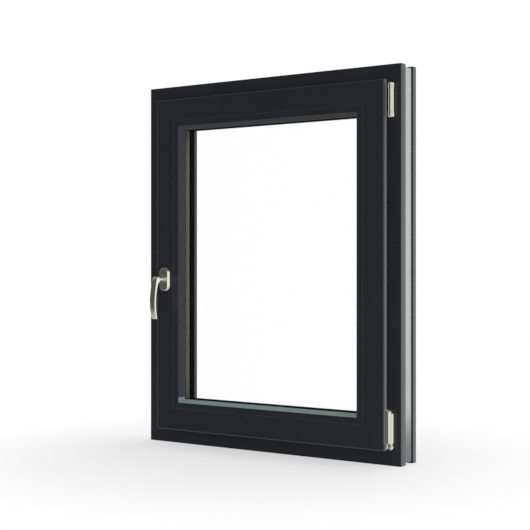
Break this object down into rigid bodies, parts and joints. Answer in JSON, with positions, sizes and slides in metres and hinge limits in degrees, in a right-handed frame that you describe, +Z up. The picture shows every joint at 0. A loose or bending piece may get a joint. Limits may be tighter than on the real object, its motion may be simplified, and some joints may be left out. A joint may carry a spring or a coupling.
{
  "type": "window",
  "caption": "Tilt-and-turn uPVC window: dark mitred frame and sash, triple glazing, sloped beads, bowed lever handle, surface hinges.",
  "frame": {"origin": "middle of the frame on its foot, at the room face of the outer frame", "axes": "+X to the right seen from the room, +Y outdoors, +Z up"},
  "size_m": [0.8, 0.1627, 1],
  "materials": {
    "anthracite": "smooth satin outer foil, fine grain",
    "glass": "clear float",
    "gasket": "matte",
    "zinc_steel": "galvanised",
    "spacer": "matte black",
    "sealant": "matte",
    "packer": "matte",
    "cap": "satin",
    "nickel": "satin nickel",
    "keep_zinc": "silver coating",
    "base_zinc": "die-cast",
    "screw": "zinc plated",
    "hardware": "silver coating"
  },
  "bodies": {
    "frame": {"frame_head": "anthracite", "frame_sill": "anthracite", "frame_jamb_hinge": "anthracite", "frame_jamb_lock": "anthracite", "frame_steel_head": "zinc_steel", "frame_steel_sill": "zinc_steel", "frame_steel_jamb_hinge": "zinc_steel", "frame_steel_jamb_lock": "zinc_steel", "gasket_outer": "gasket", "gasket_centre": "gasket", "drain_caps": "cap", "locking_keeps": "keep_zinc", "tilt_keep": "keep_zinc", "keep_screws": "screw", "stay_bearing": "nickel", "corner_bearing": "nickel"},
    "corner_pivot": {"corner_pivot_pin": "nickel"},
    "stay_pin": {"stay_hinge_pin": "nickel"},
    "stay": {"stay_arm": "hardware", "stay_slider": "hardware"},
    "handle": {"handle_lever": "nickel", "handle_spindle": "hardware", "spindle_follower": "hardware"},
    "lock_rod": {"rod_lock": "hardware"},
    "head_rod": {"rod_head": "hardware"},
    "sill_rod": {"rod_sill": "hardware"},
    "sash": {"bead_head": "anthracite", "bead_sill": "anthracite", "bead_stile_hinge": "anthracite", "bead_stile_lock": "anthracite", "corner_drive_head": "hardware", "corner_drive_sill": "hardware", "corner_hinge_cover": "nickel", "edge_seals": "sealant", "faceplate_lock": "hardware", "faceplate_sill": "hardware", "gasket_glass_outdoor": "gasket", "gasket_glass_room": "gasket", "gasket_overlap": "gasket", "gearbox_case": "hardware", "glazing_packers": "packer", "guide_rail_head": "hardware", "handle_base": "base_zinc", "handle_rose_cover": "nickel", "handle_screws": "screw", "pane_middle": "glass", "pane_outdoor": "glass", "pane_room": "glass", "sash_corner_hinge": "nickel", "sash_head": "anthracite", "sash_sill": "anthracite", "sash_steel_head": "zinc_steel", "sash_steel_sill": "zinc_steel", "sash_steel_stile_hinge": "zinc_steel", "sash_steel_stile_lock": "zinc_steel", "sash_stile_hinge": "anthracite", "sash_stile_lock": "anthracite", "spacer_outdoor": "spacer", "spacer_room": "spacer"}
  },
  "joints": [
    {"name": "sash_tilt", "type": "hinge", "parent": "frame", "child": "corner_pivot", "pos_m": [0.3765, -0.009, 0.044], "axis": [1, 0, 0], "range_deg": [0, 8]},
    {"name": "sash_turn", "type": "hinge", "parent": "corner_pivot", "child": "sash", "pos_m": [0.3765, -0.009, 0.044], "axis": [0, 0, 1], "range_deg": [0, 90]},
    {"name": "stay_pin_turn", "type": "hinge", "parent": "frame", "child": "stay_pin", "pos_m": [0.3765, -0.009, 0.91], "axis": [0, 0, 1], "range_deg": [0, 90]},
    {"name": "stay_arm_swing", "type": "hinge", "parent": "stay_pin", "child": "stay", "pos_m": [0.3765, -0.009, 0.91], "axis": [0, 0, 1], "range_deg": [0, 19.5]},
    {"name": "handle_turn", "type": "hinge", "parent": "sash", "child": "handle", "pos_m": [-0.3302, -0.031, 0.459], "axis": [0, -1, 0], "range_deg": [0, 180]},
    {"name": "lock_rod_slide", "type": "slide", "parent": "sash", "child": "lock_rod", "axis": [0, 0, 1], "range_m": [0, 0.036]},
    {"name": "head_rod_slide", "type": "slide", "parent": "sash", "child": "head_rod", "axis": [1, 0, 0], "range_m": [0, 0.036]},
    {"name": "sill_rod_slide", "type": "slide", "parent": "sash", "child": "sill_rod", "axis": [-1, 0, 0], "range_m": [0, 0.036]}
  ],
  "couplings": [
    {"joint": "stay_pin_turn", "follows": "sash_turn", "ratio": 1},
    {"joint": "stay_arm_swing", "follows": "sash_tilt", "ratio": 2.384},
    {"joint": "lock_rod_slide", "follows": "handle_turn", "m_per_rad": 0.011459},
    {"joint": "head_rod_slide", "follows": "handle_turn", "m_per_rad": 0.011459},
    {"joint": "sill_rod_slide", "follows": "handle_turn", "m_per_rad": 0.011459}
  ]
}
